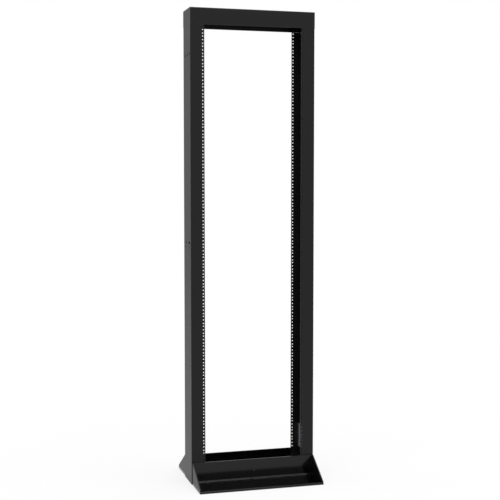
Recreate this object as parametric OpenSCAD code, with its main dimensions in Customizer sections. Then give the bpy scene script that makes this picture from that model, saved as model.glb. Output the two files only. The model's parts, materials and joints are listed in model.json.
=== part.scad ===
// Two post open frame equipment rack for 19 inch equipment.
// Two formed steel channels stand on a welded base and carry a header.
// Origin on the floor at the centre of the base, +Z up, front towards -Y.

/* [Equipment space] */
// Number of rack units between base and header
rack_units = 44; // [30:1:46]
// Clear width between the two uprights
opening_w = 450.85; // [440:0.05:460]
// Distance between the left and right rows of rack holes at the standard clear width
hole_centres = 465.1; // [462:0.1:468]

/* [Rack holes] */
// Height of one rack unit
unit_h = 44.45; // [44:0.05:45]
// From the edge of a rack unit to its first hole
first_hole = 6.35; // [6:0.05:7]
// Between neighbouring holes inside one rack unit
hole_step = 15.875; // [15:0.005:16]
// Holes in each rack unit
holes_per_unit = 3; // [1:1:3]
// Diameter of a rack hole
rack_hole_d = 5.5; // [4:0.1:7]
// Clear height between the base plates and the lowest rack unit
lowest_unit_gap = 3; // [0.5:0.1:8]
// Clear height between the highest rack unit and the header
top_unit_gap = 1; // [0.5:0.1:8]

/* [Uprights] */
// Front to back depth of an upright
post_depth = 148; // [130:1:200]
// Width of a front or rear flange
flange_w = 63.5; // [55:0.5:80]
// Steel thickness of an upright
post_wall = 3; // [2:0.1:4]
// Outside radius of the bends
bend_r = 4.2; // [4.1:0.1:8]

/* [Side holes] */
// Height of the upper row of side holes below the header
upper_row_drop = 129; // [80:1:200]
// Diameter of a hole in the upper row
upper_hole_d = 11; // [6:0.5:14]
// Front face of an upright to the first hole of the upper row
upper_front = 14; // [12:1:20]
// Between the first and second holes of the upper row
upper_pitch = 41; // [30:1:50]
// Between the second and third holes of the upper row
upper_rear_pitch = 54; // [40:1:60]
// Height of the side slot above the floor
slot_z = 1093; // [900:1:1200]
// End to end length of the side slot
slot_l = 28; // [20:1:45]
// Height of the side slot
slot_h = 10; // [5:0.5:12]
// Front face of an upright to the middle of the side slot
slot_front = 35; // [30:1:40]
// Between the side slot and the large hole behind it
slot_pitch = 59; // [50:1:80]
// Diameter of the large hole
large_hole_d = 11; // [6:0.5:14]
// Rear face of an upright to the small hole level with the slot
small_back = 14; // [12:1:20]
// Diameter of the small hole
small_hole_d = 9; // [5:0.5:11]
// Drop from the slot to the pair of holes below it
pair_drop = 21; // [16:1:40]
// Diameter of a hole of the pair
pair_hole_d = 8; // [4:0.5:10]
// Front face of an upright to the first hole of the pair
pair_front = 30; // [20:1:40]
// Between the two holes of the pair
pair_pitch = 62; // [30:1:80]

/* [Header] */
// Height of the header
header_h = 73.8; // [60:0.1:120]
// Steel thickness of the header
header_wall = 3; // [2:0.1:4]
// Open seam between the header and the top of an upright
seam = 0.5; // [0.2:0.1:0.9]
// Thickness of the splice plate inside the joint
splice_t = 4.8; // [3:0.1:8]
// Front to back width of a splice plate
splice_w = 110; // [80:1:115]
// How far a splice plate reaches up and down from the seam
splice_reach = 60; // [40:1:70]

/* [Base] */
// Height of the base plates
base_h = 100; // [90:0.1:130]
// Thickness of a base plate
plate_t = 6.4; // [4:0.1:10]
// Radius along the top edges of a base plate
plate_edge_r = 1.8; // [0.5:0.1:1.9]
// How far the base stops short of the outside of the uprights
base_inset = 2.8; // [1:0.1:6]
// Thickness of a foot plate
foot_t = 9.5; // [6:0.1:14]
// How far a foot plate reaches out from its base plate
foot_reach = 150; // [110:1:200]
// Radius along the outer top edge of a foot plate
foot_edge_r = 4; // [1:0.1:5]
// Thickness of a gusset
gusset_t = 4.8; // [3:0.1:8]
// Width of the gusset's flat top beside the base plate
gusset_top = 4; // [2:0.5:12]
// Height of the gusset's blunt front end
gusset_nose = 5; // [2:0.5:12]
// Leg of the weld fillet between foot plate and base plate
weld_leg = 6; // [3:0.1:8]
// Diameter of the earthing hole in a base plate
earth_hole_d = 7; // [4:0.5:10]
// Height of the earthing hole
earth_hole_z = 48; // [30:1:70]

/* [Floor anchors] */
// Diameter of an anchor hole
anchor_d = 17.5; // [12:0.5:22]
// Left to right distance between anchor holes
anchor_span = 457.2; // [380:0.1:480]
// From the face of the base plate to the anchor holes
anchor_reach = 75; // [50:1:85]

/* [Earthing bracket] */
// Height of the bracket
bracket_h = 110; // [60:1:140]
// Gap between the top of the base plates and the bracket
bracket_lift = 7.5; // [5:0.5:40]
// Thickness of the bracket
bracket_t = 3; // [2:0.1:4]
// Width of the leg that lies on the rear flange
bracket_foot = 12; // [10:0.5:20]
// Depth of the leg that stands forward
bracket_leg = 51; // [30:1:80]
// From the inner edge of the upright to the bracket
bracket_in = 37; // [17:0.5:40]
// Diameter of the holes in the standing leg
bracket_hole_d = 6; // [4:0.5:9]
// Front edge of the standing leg to the middle of its holes
bracket_hole_edge = 6.5; // [6:0.5:12]
// Number of holes in the standing leg
bracket_holes = 3; // [1:1:3]

/* [Hidden] */
$fn = 48;
eps = 1;                                       // overrun of a cutting tool
standard_opening_w = 450.85;                   // clear width that hole_centres belongs to
hole_inset = (hole_centres - standard_opening_w) / 2;  // inner edge of a flange to its holes
overall_w = opening_w + 2 * flange_w;
space_h = rack_units * unit_h;
unit_z = base_h + lowest_unit_gap;             // bottom of the lowest rack unit
header_z = unit_z + space_h + top_unit_gap;
post_h = header_z - seam;
base_w = overall_w - 2 * base_inset;
plate_y = post_depth / 2;                      // back face of the front base plate
foot_y = plate_y + plate_t;                    // where a foot plate begins
coat = [0.09, 0.09, 0.1];

// Profile of a bend, from a quarter ring, centred on the bend's own axis
module bend_profile(wall) {
    intersection() {
        difference() {
            circle(r = bend_r);
            circle(r = bend_r - wall);
        }
        translate([-bend_r, -bend_r]) square(bend_r);
    }
}

// Outline of a channel with its web on the y axis and its legs towards +x
module channel_profile(width, depth, wall) {
    translate([0, bend_r - depth / 2]) square([wall, depth - 2 * bend_r]);
    for (side = [0, 1]) mirror([0, side]) {
        translate([bend_r, bend_r - depth / 2]) bend_profile(wall);
        translate([bend_r, -depth / 2]) square([width - bend_r, wall]);
    }
}

// Outline of a slot with round ends, lying along x
module slot_profile(length, height) {
    square([length - height, height], center = true);
    for (side = [-1, 1]) translate([side * (length - height) / 2, 0]) circle(d = height);
}

// Drills through both flanges at every rack hole
module rack_hole_tools() {
    for (unit = [0 : rack_units - 1], hole = [0 : holes_per_unit - 1])
        translate([flange_w - hole_inset, 0, unit_z + unit * unit_h + first_hole + hole * hole_step])
            rotate([90, 0, 0])
                cylinder(d = rack_hole_d, h = post_depth + 2 * eps, center = true, $fn = 24);
}

// Round drill through the web, at a depth behind the front face and a height
module web_drill(depth, height, diameter) {
    translate([-eps, depth - post_depth / 2, height])
        rotate([0, 90, 0]) cylinder(d = diameter, h = post_wall + 2 * eps);
}

// Drills through the web for cable managers
module side_hole_tools() {
    upper_z = header_z - upper_row_drop;
    for (depth = [0, upper_pitch, upper_pitch + upper_rear_pitch])
        web_drill(upper_front + depth, upper_z, upper_hole_d);
    translate([-eps, slot_front - post_depth / 2, slot_z])
        rotate([90, 0, 90]) linear_extrude(post_wall + 2 * eps) slot_profile(slot_l, slot_h);
    web_drill(slot_front + slot_pitch, slot_z, large_hole_d);
    web_drill(post_depth - small_back, slot_z, small_hole_d);
    for (depth = [0, pair_pitch])
        web_drill(pair_front + depth, slot_z - pair_drop, pair_hole_d);
}

// Upright with its web on the plane x = 0 and its flanges towards +x
module upright() {
    difference() {
        linear_extrude(post_h) channel_profile(flange_w, post_depth, post_wall);
        rack_hole_tools();
        side_hole_tools();
    }
}

// Places a left hand piece against the outside of the rack
module on_left() {
    translate([-overall_w / 2, 0, 0]) children();
}

// The same piece as its mirror image on the right
module on_right() {
    mirror([1, 0, 0]) on_left() children();
}

module left_upright() {
    color(coat) on_left() upright();
}

module right_upright() {
    color(coat) on_right() upright();
}

// Formed pan, open underneath, the width and depth of the uprights
module header() {
    color(coat) translate([-overall_w / 2, 0, header_z + header_h]) {
        rotate([90, 90, 90]) linear_extrude(overall_w)
            channel_profile(header_h, post_depth, header_wall);
        for (x = [0, overall_w - header_wall])
            translate([x, header_wall - post_depth / 2, -header_h])
                cube([header_wall, post_depth - 2 * header_wall, header_h - header_wall]);
    }
}

// Plate behind the seam that joins the header's end to the upright's web
module header_splice() {
    x = max(post_wall, header_wall);
    translate([x, -splice_w / 2, header_z - splice_reach])
        cube([splice_t, splice_w, 2 * splice_reach]);
}

module left_header_splice() {
    color(coat) on_left() header_splice();
}

module right_header_splice() {
    color(coat) on_right() header_splice();
}

// Extrudes an outline of depth against height across the middle of the rack
module across(width) {
    rotate([90, 0, 90]) translate([0, 0, -width / 2]) linear_extrude(width) children();
}

// Outline of a base plate, rounded along both top edges
module base_plate_profile() {
    r = plate_edge_r;
    square([plate_t, base_h - r]);
    translate([r, 0]) square([plate_t - 2 * r, base_h]);
    for (y = [r, plate_t - r]) translate([y, base_h - r]) circle(r = r);
}

// Upright plate across the front of both uprights
module base_plate() {
    difference() {
        translate([0, -foot_y, 0]) across(base_w) base_plate_profile();
        translate([0, -plate_y + eps, earth_hole_z]) rotate([90, 0, 0])
            cylinder(d = earth_hole_d, h = plate_t + 2 * eps);
    }
}

module front_base_plate() {
    color(coat) base_plate();
}

module rear_base_plate() {
    color(coat) mirror([0, 1, 0]) base_plate();
}

// Outline of a foot plate, rounded along its outer top edge
module foot_profile() {
    r = foot_edge_r;
    translate([-foot_reach, 0]) square([foot_reach, foot_t - r]);
    translate([r - foot_reach, 0]) square([foot_reach - r, foot_t]);
    translate([r - foot_reach, foot_t - r]) circle(r = r);
}

// Outline of the hollow weld fillet in the corner above the foot plate
module weld_profile() {
    difference() {
        translate([-weld_leg, foot_t]) square(weld_leg);
        translate([-weld_leg, foot_t + weld_leg]) circle(r = weld_leg);
    }
}

// Foot plate on the floor with its anchor holes, and the weld between the gussets
module foot_plate() {
    difference() {
        translate([0, -foot_y, 0]) {
            across(base_w) foot_profile();
            across(base_w - 2 * gusset_t) weld_profile();
        }
        for (side = [-1, 1])
            translate([side * anchor_span / 2, -foot_y - anchor_reach, -eps])
                cylinder(d = anchor_d, h = foot_t + 2 * eps);
    }
}

module front_foot_plate() {
    color(coat) foot_plate();
}

module rear_foot_plate() {
    color(coat) mirror([0, 1, 0]) foot_plate();
}

// Triangular end plate on the flat of the foot plate, flush with its end
module gusset() {
    reach = foot_reach - foot_edge_r;
    top = base_h - foot_t;
    translate([-base_w / 2, -foot_y, foot_t]) rotate([90, 0, -90]) mirror([0, 0, 1])
        linear_extrude(gusset_t)
            polygon([[0, 0], [reach, 0], [reach, gusset_nose], [gusset_top, top], [0, top]]);
}

module left_front_gusset() {
    color(coat) gusset();
}

module right_front_gusset() {
    color(coat) mirror([1, 0, 0]) gusset();
}

module left_rear_gusset() {
    color(coat) mirror([0, 1, 0]) gusset();
}

module right_rear_gusset() {
    color(coat) mirror([1, 0, 0]) mirror([0, 1, 0]) gusset();
}

// Small angle on the inside of the right upright's rear flange
module earthing_bracket() {
    hole_pitch = bracket_h / (bracket_holes + 1);
    corner = [opening_w / 2 + bracket_in, post_depth / 2 - post_wall, base_h + bracket_lift];
    color(coat) translate(corner) difference() {
        union() {
            translate([0, -bracket_t, 0]) cube([bracket_foot, bracket_t, bracket_h]);
            translate([0, -bracket_leg, 0]) cube([bracket_t, bracket_leg, bracket_h]);
        }
        for (i = [1 : bracket_holes])
            translate([-eps, bracket_hole_edge - bracket_leg, i * hole_pitch])
                rotate([0, 90, 0]) cylinder(d = bracket_hole_d, h = bracket_t + 2 * eps);
    }
}

left_upright();
right_upright();
header();
left_header_splice();
right_header_splice();
front_base_plate();
rear_base_plate();
front_foot_plate();
rear_foot_plate();
left_front_gusset();
right_front_gusset();
left_rear_gusset();
right_rear_gusset();
earthing_bracket();
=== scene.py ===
import json
import math

import bmesh
import bpy
from mathutils import Matrix, Vector


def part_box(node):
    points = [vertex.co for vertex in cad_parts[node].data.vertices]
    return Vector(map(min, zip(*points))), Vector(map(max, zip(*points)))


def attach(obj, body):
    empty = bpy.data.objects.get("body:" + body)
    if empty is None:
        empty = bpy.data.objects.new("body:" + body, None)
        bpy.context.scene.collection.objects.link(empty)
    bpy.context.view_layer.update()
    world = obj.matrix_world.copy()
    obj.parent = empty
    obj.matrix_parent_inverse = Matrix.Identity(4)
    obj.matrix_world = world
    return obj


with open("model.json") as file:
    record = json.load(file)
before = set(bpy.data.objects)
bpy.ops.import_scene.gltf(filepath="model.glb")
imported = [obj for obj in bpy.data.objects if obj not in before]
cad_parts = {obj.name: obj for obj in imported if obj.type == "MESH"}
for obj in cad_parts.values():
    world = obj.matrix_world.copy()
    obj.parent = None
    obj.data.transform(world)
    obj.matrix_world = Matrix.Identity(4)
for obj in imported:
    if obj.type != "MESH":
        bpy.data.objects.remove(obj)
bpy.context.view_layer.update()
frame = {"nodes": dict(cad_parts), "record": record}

MM = 0.001

# ---------------------------------------------------------------- sizes read from the frame

FRONT_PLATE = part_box("front_base_plate")
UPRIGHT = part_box("left_upright")

plate_top = FRONT_PLATE[1].z
plate_face_y = FRONT_PLATE[0].y            # front face of the front base plate
plate_t = FRONT_PLATE[1].y - FRONT_PLATE[0].y
plate_end_x = FRONT_PLATE[1].x             # right end of both base plates
upright_face_y = UPRIGHT[0].y              # front face of both uprights

# ---------------------------------------------------------------- sizes of what is added

END_BEAD = 2.4 * MM                        # leg of the weld runs at a base plate's ends
BEAD_RIPPLE = 3 * MM                       # length of one ripple of a weld run
BEAD_GAP = 7 * MM                          # bare stretch at each end of a run
BEAD_SWELL = 0.1                           # swell of a ripple, as a share of the leg
BEAD_FLATTEN = 0.22                        # flattening of a run's face from a quarter circle
BEAD_START = 0.25                          # size of a run at its very ends, as a share
RINGS_PER_RIPPLE = 6
POINTS_PER_RING = 7
EARTH_HOLE_Z = 48 * MM                     # height of the hole in a base plate
SCREW_SHANK_R = 3 * MM
SCREW_HEAD_AF = 10 * MM                    # across the flats of the hexagon
SCREW_HEAD_H = 4 * MM
SCREW_CROWN = 0.2                          # share of the head's height that is chamfered
SCREW_CROWN_WIDTH = 0.82                   # width of the head's top, as a share
WASHER_R = 6.5 * MM
WASHER_T = 1.2 * MM
WASHER_CHAMFER = 0.3 * MM

# ---------------------------------------------------------------- sizes of the patterns

FILM_DRIFT = 90 * MM                       # patches of film with a slightly other sheen
EDGE_WEAR_AND_GLINT_PATCH = 14 * MM                       # stretches of an edge with more or less wear and painted highlight
EDGE_ROUND = 0.5 * MM                      # rounding that the film gives an edge
EDGE_BAND = 0.7 * MM                       # how far from a corner the paler edge, worn film and painted highlight, reaches
BEVEL_SAMPLES = 6
SCREW_MOTTLE = 1.5 * MM
ZINC_CELL = 5 * MM
ZINC_CLOUD = 20 * MM

# ---------------------------------------------------------------- studio

LENS, SENSOR = 76.51, 36                   # millimetres, as on a real camera
CAMERA_PLACE = (-1.29858, -4.69502, 1.36589)
CAMERA_TURN = (86.331, 0, -15.511)         # degrees
FLOOR_HALF = 14
SHADOW_KEPT_TO, ALL_WHITE_FROM = 0.5, 1.8  # from the middle of the rack
WHITE_SHARE = 0.78                         # plain white over the lit paper, near the rack
SURROUNDINGS = 0.85                        # strength of the white all round, as light
WHITE = (1, 1, 1, 1)


# ---------------------------------------------------------------- materials

def linear(colour):
    """An sRGB hex colour as the linear RGBA that a shader takes."""
    parts = [int(colour[i:i + 2], 16) / 255 for i in (1, 3, 5)]
    return [c / 12.92 if c <= 0.04045 else ((c + 0.055) / 1.055) ** 2.4 for c in parts] + [1]


def add(tree, kind, settings=None, **links):
    """Adds a node, sets its properties and sockets, and links its inputs."""
    made = tree.nodes.new(kind)
    for name, value in (settings or {}).items():
        if name in made.inputs:
            made.inputs[name].default_value = value
        else:
            setattr(made, name, value)
    for name, source in links.items():
        key = int(name[1:]) if name[0] == "i" and name[1:].isdigit() else name.replace("_", " ")
        tree.links.new(source, made.inputs[key])
    return made


def new_tree(name):
    """An empty material and its node tree."""
    material = bpy.data.materials.new(name)
    material.use_nodes = True
    material.node_tree.nodes.clear()
    return material, material.node_tree


def edge_mask(tree, radius):
    """1 on sharp outside and inside corners, 0 on flats, from a rounded normal."""
    rounded = add(tree, "ShaderNodeBevel", {"Radius": radius, "samples": BEVEL_SAMPLES})
    flat = add(tree, "ShaderNodeNewGeometry")
    cosine = add(tree, "ShaderNodeVectorMath", {"operation": "DOT_PRODUCT"},
                 i0=rounded.outputs[0], i1=flat.outputs["Normal"])
    return add(tree, "ShaderNodeMapRange", {"From Min": 0.995, "From Max": 0.8},
               Value=cosine.outputs["Value"])


def powder_coat(name, film, pale_edge_and_glint, foot_roughness, roughness, peel, peel_height):
    """Black powder coat, sprayed dry and baked on steel. Up close the eye sees a fine orange
    peel, a sheen that drifts a little from place to place, and edges a shade paler than the
    flats: partly worn, thinner film and partly a painted highlight. Over the first metre
    above the floor the roughness runs from foot_roughness to roughness."""
    material, tree = new_tree(name)
    place = add(tree, "ShaderNodeTexCoord")
    height = add(tree, "ShaderNodeSeparateXYZ", Vector=place.outputs["Object"])
    settled = add(tree, "ShaderNodeMapRange", {"To Min": foot_roughness, "To Max": roughness},
                  Value=height.outputs["Z"])
    thickness = add(tree, "ShaderNodeTexNoise", {"Scale": 1 / FILM_DRIFT, "Detail": 2},
                    Vector=place.outputs["Object"])
    drift = add(tree, "ShaderNodeMapRange", {"To Min": -0.015, "To Max": 0.015},
                Value=thickness.outputs["Fac"])
    sheen = add(tree, "ShaderNodeMath", {"operation": "ADD"},
                i0=settled.outputs["Result"], i1=drift.outputs["Result"])
    skin = add(tree, "ShaderNodeTexNoise", {"Scale": 1 / peel, "Detail": 1},
               Vector=place.outputs["Object"])
    corner = edge_mask(tree, EDGE_BAND)
    patchy = add(tree, "ShaderNodeTexNoise", {"Scale": 1 / EDGE_WEAR_AND_GLINT_PATCH, "Detail": 3},
                 Vector=place.outputs["Object"])
    patchy_edge = add(tree, "ShaderNodeMapRange", {"From Min": 0.35, "From Max": 0.7},
                 Value=patchy.outputs["Fac"])
    edge_wear_and_glint = add(tree, "ShaderNodeMath", {"operation": "MULTIPLY"},
               i0=corner.outputs["Result"], i1=patchy_edge.outputs["Result"])
    # The paler edge colour stands partly for worn, thinner film and partly for a painted
    # highlight along the corners.
    tone = add(tree, "ShaderNodeMix", {"data_type": "RGBA"}, i0=edge_wear_and_glint.outputs["Value"])
    tone.inputs[6].default_value = linear(film)
    tone.inputs[7].default_value = linear(pale_edge_and_glint)
    rounded = add(tree, "ShaderNodeBevel", {"Radius": EDGE_ROUND, "samples": BEVEL_SAMPLES})
    bump = add(tree, "ShaderNodeBump", {"Strength": 1, "Distance": peel_height},
               Height=skin.outputs["Fac"], Normal=rounded.outputs[0])
    shader = add(tree, "ShaderNodeBsdfPrincipled", {"IOR": 1.5, "Specular IOR Level": 0.3},
                 Base_Color=tone.outputs[2], Roughness=sheen.outputs["Value"],
                 Normal=bump.outputs["Normal"])
    add(tree, "ShaderNodeOutputMaterial", Surface=shader.outputs[0])
    return material


def coated_weld():
    """A weld run under black powder coat, duller than the plate beside it."""
    # The second colour is the paler edge tone: partly worn film, partly a painted highlight.
    return powder_coat("black_powder_on_weld", "#0b0b0c", "#1c1c1d", 0.34, 0.34,
                       1.6 * MM, 0.03 * MM)


def blackened_zinc():
    """Zinc plated steel passivated black, as machine screws may be: a dark grey metal with
    a soft gleam, lightly mottled."""
    material, tree = new_tree("black_passivated_zinc")
    place = add(tree, "ShaderNodeTexCoord")
    mottle = add(tree, "ShaderNodeTexNoise", {"Scale": 1 / SCREW_MOTTLE, "Detail": 3},
                 Vector=place.outputs["Object"])
    tone = add(tree, "ShaderNodeMix", {"data_type": "RGBA"}, i0=mottle.outputs["Fac"])
    tone.inputs[6].default_value = linear("#2c2c2e")
    tone.inputs[7].default_value = linear("#4a4a4c")
    gleam = add(tree, "ShaderNodeMapRange", {"To Min": 0.28, "To Max": 0.42},
                Value=mottle.outputs["Fac"])
    shader = add(tree, "ShaderNodeBsdfPrincipled", {"Metallic": 1},
                 Base_Color=tone.outputs[2], Roughness=gleam.outputs["Result"])
    add(tree, "ShaderNodeOutputMaterial", Surface=shader.outputs[0])
    return material


def zinc_plating():
    """Dull zinc plating, the finish assumed for the bracket. The eye sees a pale grey metal,
    lightly mottled in cells, that takes its tone from all round it."""
    material, tree = new_tree("dull_zinc_plating")
    place = add(tree, "ShaderNodeTexCoord")
    cells = add(tree, "ShaderNodeTexVoronoi", {"Scale": 1 / ZINC_CELL},
                Vector=place.outputs["Object"])
    cloud = add(tree, "ShaderNodeTexNoise", {"Scale": 1 / ZINC_CLOUD, "Detail": 3},
                Vector=place.outputs["Object"])
    mottle = add(tree, "ShaderNodeMapRange", {"To Min": 0.85, "To Max": 1.15},
                  Value=cells.outputs["Distance"])
    blend = add(tree, "ShaderNodeMath", {"operation": "MULTIPLY"},
                i0=mottle.outputs["Result"], i1=cloud.outputs["Fac"])
    tone = add(tree, "ShaderNodeMix", {"data_type": "RGBA"}, i0=blend.outputs["Value"])
    tone.inputs[6].default_value = linear("#b0b1b3")
    tone.inputs[7].default_value = linear("#d0d1d2")
    dullness = add(tree, "ShaderNodeMapRange", {"To Min": 0.5, "To Max": 0.62},
                   Value=cloud.outputs["Fac"])
    shader = add(tree, "ShaderNodeBsdfPrincipled", {"Metallic": 1},
                 Base_Color=tone.outputs[2], Roughness=dullness.outputs["Result"])
    add(tree, "ShaderNodeOutputMaterial", Surface=shader.outputs[0])
    return material


def white_seen_directly(tree, lit, kind, share=None):
    """Mixes plain white, from a node of the given kind, over what the lamps light, where it
    is seen directly, in gloss or through glass. A share less than 1 keeps some of the lit."""
    ray = add(tree, "ShaderNodeLightPath")
    seen = add(tree, "ShaderNodeMath", {"operation": "MAXIMUM"},
               i0=ray.outputs["Is Camera Ray"], i1=ray.outputs["Is Glossy Ray"])
    seen = add(tree, "ShaderNodeMath", {"operation": "MAXIMUM"},
               i0=seen.outputs[0], i1=ray.outputs["Is Transmission Ray"])
    if share:
        seen = add(tree, "ShaderNodeMath", {"operation": "MULTIPLY"},
                   i0=seen.outputs[0], i1=share)
    plain = add(tree, kind, {"Color": WHITE, "Strength": 1})
    return add(tree, "ShaderNodeMixShader", None,
               i0=seen.outputs[0], i1=lit.outputs[0], i2=plain.outputs[0])


def studio_floor():
    """Matt white paper that keeps a faint part of the rack's soft shadow and runs out to
    plain white."""
    material, tree = new_tree("white_paper_floor")
    paper = add(tree, "ShaderNodeBsdfDiffuse", {"Color": linear("#f4f4f4")})
    place = add(tree, "ShaderNodeTexCoord")
    distance = add(tree, "ShaderNodeVectorMath", {"operation": "LENGTH"},
                   i0=place.outputs["Object"])
    share = add(tree, "ShaderNodeMapRange",
                {"interpolation_type": "SMOOTHSTEP", "From Min": SHADOW_KEPT_TO,
                 "From Max": ALL_WHITE_FROM, "To Min": WHITE_SHARE, "To Max": 1},
                Value=distance.outputs["Value"])
    mixed = white_seen_directly(tree, paper, "ShaderNodeEmission", share.outputs["Result"])
    add(tree, "ShaderNodeOutputMaterial", Surface=mixed.outputs[0])
    return material


# ---------------------------------------------------------------- pieces

def mesh_piece(name, build, material):
    """A piece made by build(bm), in the rack's frame, riding on the rack."""
    bm = bmesh.new()
    build(bm)
    bmesh.ops.recalc_face_normals(bm, faces=bm.faces)
    data = bpy.data.meshes.new(name)
    bm.to_mesh(data)
    bm.free()
    data.materials.append(material)
    piece = bpy.data.objects.new(name, data)
    bpy.context.scene.collection.objects.link(piece)
    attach(piece, "root")
    return piece


def mirror_to_rear(bm):
    """Turns a piece made for the front plate into the one for the rear plate."""
    bmesh.ops.scale(bm, vec=(1, -1, 1), verts=bm.verts)


def weld_bead(bm, start, end, side_a, side_b, leg):
    """A rippled fillet run from start to end, in the corner between two faces.
    side_a and side_b point from the corner along each face."""
    along = end - start
    count = max(2, round(along.length / BEAD_RIPPLE)) * RINGS_PER_RIPPLE
    rings = []
    for i in range(count + 1):
        t = i / count
        swell = 1 - BEAD_SWELL * math.cos(2 * math.pi * i / RINGS_PER_RIPPLE)
        ends = min(1, min(i, count - i) / RINGS_PER_RIPPLE + BEAD_START)
        reach = leg * swell * ends / (1 + BEAD_SWELL)
        ring = [bm.verts.new(start + along * t)]
        for k in range(POINTS_PER_RING):
            a = math.pi / 2 * k / (POINTS_PER_RING - 1)
            bulge = 1 - BEAD_FLATTEN * math.sin(2 * a)
            ring.append(bm.verts.new(start + along * t + bulge * reach *
                                     (side_a * math.cos(a) + side_b * math.sin(a))))
        rings.append(ring)
    for near, far in zip(rings, rings[1:]):
        for k in range(len(near)):
            n = (k + 1) % len(near)
            bm.faces.new((near[k], near[n], far[n], far[k]))
    bm.faces.new(rings[0])
    bm.faces.new(reversed(rings[-1]))


def base_welds(front):
    """The weld runs at both ends of one base plate, against the uprights."""
    def build(bm):
        outwards = Vector((0, -1, 0))
        for side in (-1, 1):
            end = side * plate_end_x
            weld_bead(bm, Vector((end, upright_face_y, BEAD_GAP)),
                      Vector((end, upright_face_y, plate_top - BEAD_GAP)),
                      Vector((side, 0, 0)), outwards, END_BEAD)
        if not front:
            mirror_to_rear(bm)
    return build


def earthing_screw(front):
    """Hexagon head screw with its washer, its shank through the hole in a base plate."""
    def build(bm):
        turn = Matrix.Rotation(math.pi / 2, 4, "X")

        def disc(radius, top_radius, depth, start, sides):
            """A round or hexagonal slice that grows outwards from the plate's face."""
            middle = Matrix.Translation((0, plate_face_y - start - depth / 2, EARTH_HOLE_Z))
            bmesh.ops.create_cone(bm, cap_ends=True, segments=sides, radius1=radius,
                                  radius2=top_radius, depth=depth, matrix=middle @ turn)
        corner_r = SCREW_HEAD_AF / math.sqrt(3)
        straight = (1 - SCREW_CROWN) * SCREW_HEAD_H
        disc(WASHER_R, WASHER_R - WASHER_CHAMFER, WASHER_T, 0, 40)
        disc(corner_r, corner_r, straight, WASHER_T, 6)
        disc(corner_r, SCREW_CROWN_WIDTH * corner_r, SCREW_CROWN * SCREW_HEAD_H,
             WASHER_T + straight, 6)
        disc(SCREW_SHANK_R, SCREW_SHANK_R, plate_t, -plate_t, 32)
        if not front:
            mirror_to_rear(bm)
    return build


# ---------------------------------------------------------------- camera, lamp and floor

def camera():
    """A long lens at chest height, to the left of the rack and turned towards it."""
    data = bpy.data.cameras.new("camera")
    data.sensor_width, data.lens = SENSOR, LENS
    data.clip_start, data.clip_end = 0.1, 60
    made = bpy.data.objects.new("camera", data)
    made.location = CAMERA_PLACE
    made.rotation_euler = [math.radians(a) for a in CAMERA_TURN]
    bpy.context.scene.collection.objects.link(made)
    bpy.context.scene.camera = made


def softbox(name, place, target, size, power):
    """A square soft light aimed at a point."""
    data = bpy.data.lights.new(name, "AREA")
    data.size, data.energy = size, power
    made = bpy.data.objects.new(name, data)
    made.location = place
    made.rotation_euler = (Vector(target) - Vector(place)).to_track_quat("-Z", "Y").to_euler()
    bpy.context.scene.collection.objects.link(made)


def studio():
    """White paper floor, white surroundings and one soft lamp overhead."""
    half = FLOOR_HALF
    data = bpy.data.meshes.new("floor")
    data.from_pydata([(-half, -half, 0), (half, -half, 0), (half, half, 0), (-half, half, 0)],
                     [], [(0, 1, 2, 3)])
    data.materials.append(studio_floor())
    floor = bpy.data.objects.new("floor", data)
    bpy.context.scene.collection.objects.link(floor)
    world = bpy.data.worlds.new("white_studio")
    bpy.context.scene.world = world
    world.use_nodes = True
    tree = world.node_tree
    tree.nodes.clear()
    soft = add(tree, "ShaderNodeBackground", {"Color": WHITE, "Strength": SURROUNDINGS})
    mixed = white_seen_directly(tree, soft, "ShaderNodeBackground")
    add(tree, "ShaderNodeOutputWorld", Surface=mixed.outputs[0])
    softbox("overhead_softbox", place=(0.3, -0.3, 4.6), target=(0, 0, 0.6), size=2.4, power=65)
    bpy.context.scene.view_settings.view_transform = "Standard"


# ---------------------------------------------------------------- the rack

# Sheet and gussets are given a satin film and heavy plate a glossier one, and the uprights
# get a little glossier towards the floor. The sheens were set by trial.
# Each coat's second colour is its paler edge tone: partly worn film, partly a painted
# highlight.
sheet_coat = powder_coat("satin_black_powder_on_sheet", "#050506", "#141415", 0.41, 0.51,
                         2.2 * MM, 0.004 * MM)
gusset_coat = powder_coat("satin_black_powder_on_gusset", "#050506", "#141415", 0.41, 0.41,
                          2.2 * MM, 0.004 * MM)
plate_coat = powder_coat("glossy_black_powder_on_heavy_plate", "#050506", "#161617", 0.12, 0.12,
                         2.6 * MM, 0.005 * MM)
FINISHES = {"upright_powder_coat": sheet_coat, "header_powder_coat": sheet_coat,
            "base_powder_coat": plate_coat, "bracket_zinc": zinc_plating()}

for part in frame["record"]["subparts"]:
    node = frame["nodes"][part["node"]]
    finish = gusset_coat if "gusset" in part["node"] else FINISHES[part["material_slot"]]
    for index in range(len(node.material_slots)):
        node.material_slots[index].material = finish

weld_coat = coated_weld()
screw_zinc = blackened_zinc()
for where in ("front", "rear"):
    welds = mesh_piece(where + "_base_welds", base_welds(where == "front"), weld_coat)
    mesh_piece(where + "_earthing_screw", earthing_screw(where == "front"), screw_zinc)

studio()
camera()
